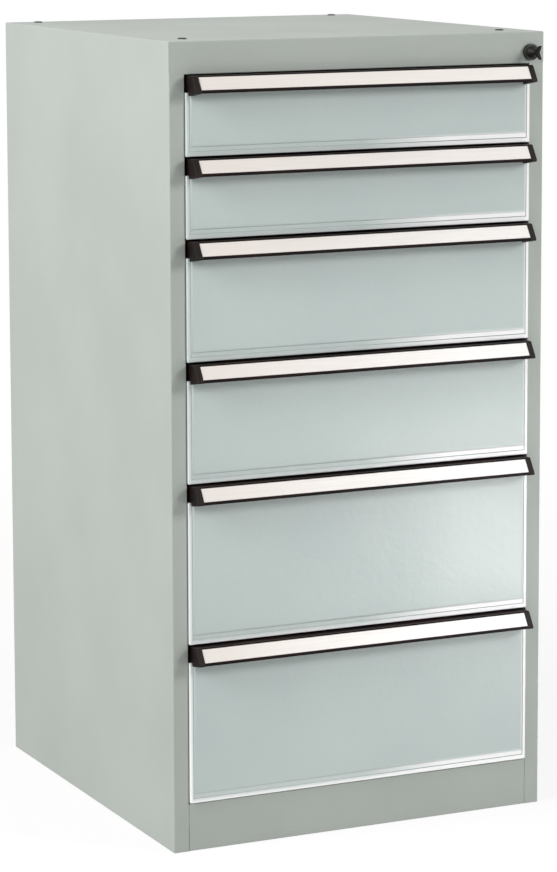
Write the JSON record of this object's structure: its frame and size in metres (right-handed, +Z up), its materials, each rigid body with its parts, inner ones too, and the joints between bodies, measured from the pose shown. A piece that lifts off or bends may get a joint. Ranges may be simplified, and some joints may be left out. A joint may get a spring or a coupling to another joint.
{
  "type": "drawer cabinet",
  "caption": "Free-standing steel cabinet with lockable full-width drawers in three heights, on telescopic runners, with label-strip grips.",
  "frame": {"origin": "middle of the whole object's bounding box, on the floor", "axes": "+Z up, the drawers open towards -Y, +X to the right seen from the front"},
  "size_m": [0.515, 0.5774, 1.0016],
  "materials": {
    "carcass_paint": "satin light grey powder coat",
    "front_paint": "satin light blue-grey powder coat",
    "box_paint": "satin light grey powder coat",
    "handle_anodised": "black anodised extrusion",
    "label_cream": "smooth warm white strip",
    "cap_plastic": "moulded black-brown",
    "zinc_steel": "bright zinc plated",
    "lock_metal": "black chromated zinc die casting",
    "key_plastic": "moulded black",
    "plug_plastic": "moulded dark grey"
  },
  "bodies": {
    "cabinet": {"side_panel_left": "carcass_paint", "side_panel_right": "carcass_paint", "back_panel": "carcass_paint", "top_panel": "carcass_paint", "top_rail": "carcass_paint", "base_rail": "carcass_paint", "bottom_panel": "carcass_paint", "uprights": "zinc_steel", "cabinet_runners": "zinc_steel", "top_plugs": "plug_plastic", "lock_housing": "lock_metal", "lock_nut": "zinc_steel", "lock_bar_guides": "zinc_steel"},
    "lock_cylinder": {"lock_cylinder": "lock_metal", "lock_cam": "zinc_steel", "key": "key_plastic"},
    "lock_bar": {"lock_bar": "zinc_steel"},
    "drawer_1": {"drawer_1_box": "box_paint", "drawer_1_front": "front_paint", "drawer_1_handle": "handle_anodised", "drawer_1_label_strip": "label_cream", "drawer_1_end_caps": "cap_plastic", "drawer_1_runners": "zinc_steel"},
    "mid_runners_1": {"mid_runners_1": "zinc_steel"},
    "drawer_2": {"drawer_2_box": "box_paint", "drawer_2_front": "front_paint", "drawer_2_handle": "handle_anodised", "drawer_2_label_strip": "label_cream", "drawer_2_end_caps": "cap_plastic", "drawer_2_runners": "zinc_steel"},
    "mid_runners_2": {"mid_runners_2": "zinc_steel"},
    "drawer_3": {"drawer_3_box": "box_paint", "drawer_3_front": "front_paint", "drawer_3_handle": "handle_anodised", "drawer_3_label_strip": "label_cream", "drawer_3_end_caps": "cap_plastic", "drawer_3_runners": "zinc_steel"},
    "mid_runners_3": {"mid_runners_3": "zinc_steel"},
    "drawer_4": {"drawer_4_box": "box_paint", "drawer_4_front": "front_paint", "drawer_4_handle": "handle_anodised", "drawer_4_label_strip": "label_cream", "drawer_4_end_caps": "cap_plastic", "drawer_4_runners": "zinc_steel"},
    "mid_runners_4": {"mid_runners_4": "zinc_steel"},
    "drawer_5": {"drawer_5_box": "box_paint", "drawer_5_front": "front_paint", "drawer_5_handle": "handle_anodised", "drawer_5_label_strip": "label_cream", "drawer_5_end_caps": "cap_plastic", "drawer_5_runners": "zinc_steel"},
    "mid_runners_5": {"mid_runners_5": "zinc_steel"},
    "drawer_6": {"drawer_6_box": "box_paint", "drawer_6_front": "front_paint", "drawer_6_handle": "handle_anodised", "drawer_6_label_strip": "label_cream", "drawer_6_end_caps": "cap_plastic", "drawer_6_runners": "zinc_steel"},
    "mid_runners_6": {"mid_runners_6": "zinc_steel"}
  },
  "joints": [
    {"name": "key_turn", "type": "hinge", "parent": "cabinet", "child": "lock_cylinder", "pos_m": [0.2385, -0.26135, 0.9745], "axis": [0, -1, 0], "range_deg": [0, 90]},
    {"name": "lock_bar_slide", "type": "slide", "parent": "cabinet", "child": "lock_bar", "axis": [0, 0, 1], "range_m": [0, 0.008]},
    {"name": "drawer_1_slide", "type": "slide", "parent": "cabinet", "child": "drawer_1", "axis": [0, -1, 0], "range_m": [0, 0.45]},
    {"name": "mid_runners_1_slide", "type": "slide", "parent": "cabinet", "child": "mid_runners_1", "axis": [0, -1, 0], "range_m": [0, 0.22501]},
    {"name": "drawer_2_slide", "type": "slide", "parent": "cabinet", "child": "drawer_2", "axis": [0, -1, 0], "range_m": [0, 0.45]},
    {"name": "mid_runners_2_slide", "type": "slide", "parent": "cabinet", "child": "mid_runners_2", "axis": [0, -1, 0], "range_m": [0, 0.22501]},
    {"name": "drawer_3_slide", "type": "slide", "parent": "cabinet", "child": "drawer_3", "axis": [0, -1, 0], "range_m": [0, 0.45]},
    {"name": "mid_runners_3_slide", "type": "slide", "parent": "cabinet", "child": "mid_runners_3", "axis": [0, -1, 0], "range_m": [0, 0.22501]},
    {"name": "drawer_4_slide", "type": "slide", "parent": "cabinet", "child": "drawer_4", "axis": [0, -1, 0], "range_m": [0, 0.45]},
    {"name": "mid_runners_4_slide", "type": "slide", "parent": "cabinet", "child": "mid_runners_4", "axis": [0, -1, 0], "range_m": [0, 0.22501]},
    {"name": "drawer_5_slide", "type": "slide", "parent": "cabinet", "child": "drawer_5", "axis": [0, -1, 0], "range_m": [0, 0.45]},
    {"name": "mid_runners_5_slide", "type": "slide", "parent": "cabinet", "child": "mid_runners_5", "axis": [0, -1, 0], "range_m": [0, 0.22501]},
    {"name": "drawer_6_slide", "type": "slide", "parent": "cabinet", "child": "drawer_6", "axis": [0, -1, 0], "range_m": [0, 0.45]},
    {"name": "mid_runners_6_slide", "type": "slide", "parent": "cabinet", "child": "mid_runners_6", "axis": [0, -1, 0], "range_m": [0, 0.22501]}
  ],
  "couplings": [
    {"joint": "key_turn", "follows": "lock_bar_slide", "rad_per_m": 196.35},
    {"joint": "mid_runners_1_slide", "follows": "drawer_1_slide", "ratio": 0.5},
    {"joint": "mid_runners_2_slide", "follows": "drawer_2_slide", "ratio": 0.5},
    {"joint": "mid_runners_3_slide", "follows": "drawer_3_slide", "ratio": 0.5},
    {"joint": "mid_runners_4_slide", "follows": "drawer_4_slide", "ratio": 0.5},
    {"joint": "mid_runners_5_slide", "follows": "drawer_5_slide", "ratio": 0.5},
    {"joint": "mid_runners_6_slide", "follows": "drawer_6_slide", "ratio": 0.5}
  ]
}
